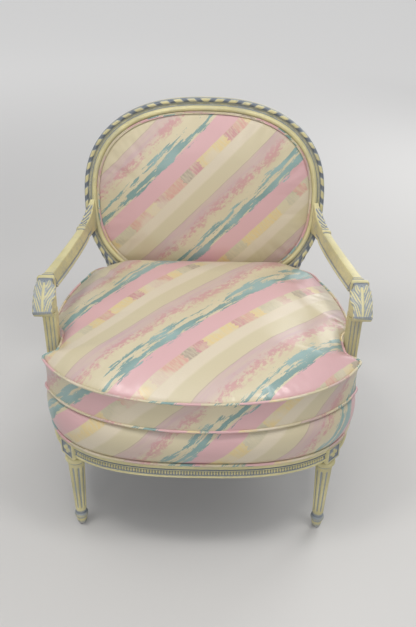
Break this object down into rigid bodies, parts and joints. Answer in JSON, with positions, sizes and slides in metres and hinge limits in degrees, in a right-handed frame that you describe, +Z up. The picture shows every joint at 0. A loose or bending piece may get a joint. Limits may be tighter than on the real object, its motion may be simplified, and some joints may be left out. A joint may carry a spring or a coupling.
{
  "type": "bergere armchair",
  "caption": "Oval-back armchair with a carved cream-painted frame, open arms, a sprung seat and a loose T-shaped box cushion in pastel striped cotton.",
  "frame": {"origin": "on the floor, under the middle of the chair's footprint", "axes": "+Z up, -Y towards the sitter's knees (the chair's front), +X to the right as seen from the front"},
  "size_m": [0.7278, 0.6812, 0.8607],
  "materials": {
    "cream_paint": "aged cream paint with a blue-grey wash in the hollows",
    "bare_beech": "unpainted",
    "striped_cotton": "polished cotton, pastel diagonal stripes",
    "jute": "woven webbing",
    "burlap": "coarse weave",
    "black_cambric": "matt",
    "spring_steel": "drawn wire",
    "zinc_steel": "zinc plated",
    "nylon_coil": "matt"
  },
  "bodies": {
    "frame": {"front_leg_left": "cream_paint", "front_leg_right": "cream_paint", "rear_leg_left": "cream_paint", "rear_leg_right": "cream_paint", "front_seat_rail": "cream_paint", "side_seat_rail_left": "cream_paint", "side_seat_rail_right": "cream_paint", "rear_seat_rail": "cream_paint", "crest_rail": "cream_paint", "back_stile_left": "cream_paint", "back_stile_right": "cream_paint", "lower_back_rail": "cream_paint", "arm_left": "cream_paint", "arm_right": "cream_paint", "arm_post_left": "cream_paint", "arm_post_right": "cream_paint", "corner_brace_front_left": "bare_beech", "corner_brace_front_right": "bare_beech", "corner_brace_rear_left": "bare_beech", "corner_brace_rear_right": "bare_beech", "brace_screw_front_left": "zinc_steel", "brace_screw_front_right": "zinc_steel", "brace_screw_rear_left": "zinc_steel", "brace_screw_rear_right": "zinc_steel", "glide_front_left": "zinc_steel", "glide_front_right": "zinc_steel", "glide_rear_left": "zinc_steel", "glide_rear_right": "zinc_steel", "seat_spring_1": "spring_steel", "seat_spring_2": "spring_steel", "seat_spring_3": "spring_steel", "seat_spring_4": "spring_steel", "seat_spring_5": "spring_steel", "seat_spring_6": "spring_steel", "seat_spring_7": "spring_steel", "seat_spring_8": "spring_steel", "seat_spring_9": "spring_steel", "spring_deck": "striped_cotton", "back_pad": "striped_cotton", "back_welt": "striped_cotton", "outside_back_panel": "striped_cotton", "seat_webbing": "jute", "spring_burlap": "burlap", "back_burlap": "burlap", "dust_cover": "black_cambric"},
    "cushion": {"seat_cushion": "striped_cotton", "cushion_zipper": "nylon_coil"},
    "zip_slider": {"zip_slider": "zinc_steel"}
  },
  "joints": [
    {"name": "cushion_lift", "type": "slide", "parent": "frame", "child": "cushion", "axis": [0, 0, 1], "range_m": [0, 0.05]},
    {"name": "zip_run", "type": "slide", "parent": "cushion", "child": "zip_slider", "axis": [1, 0, 0], "range_m": [-0.242, 0]}
  ]
}
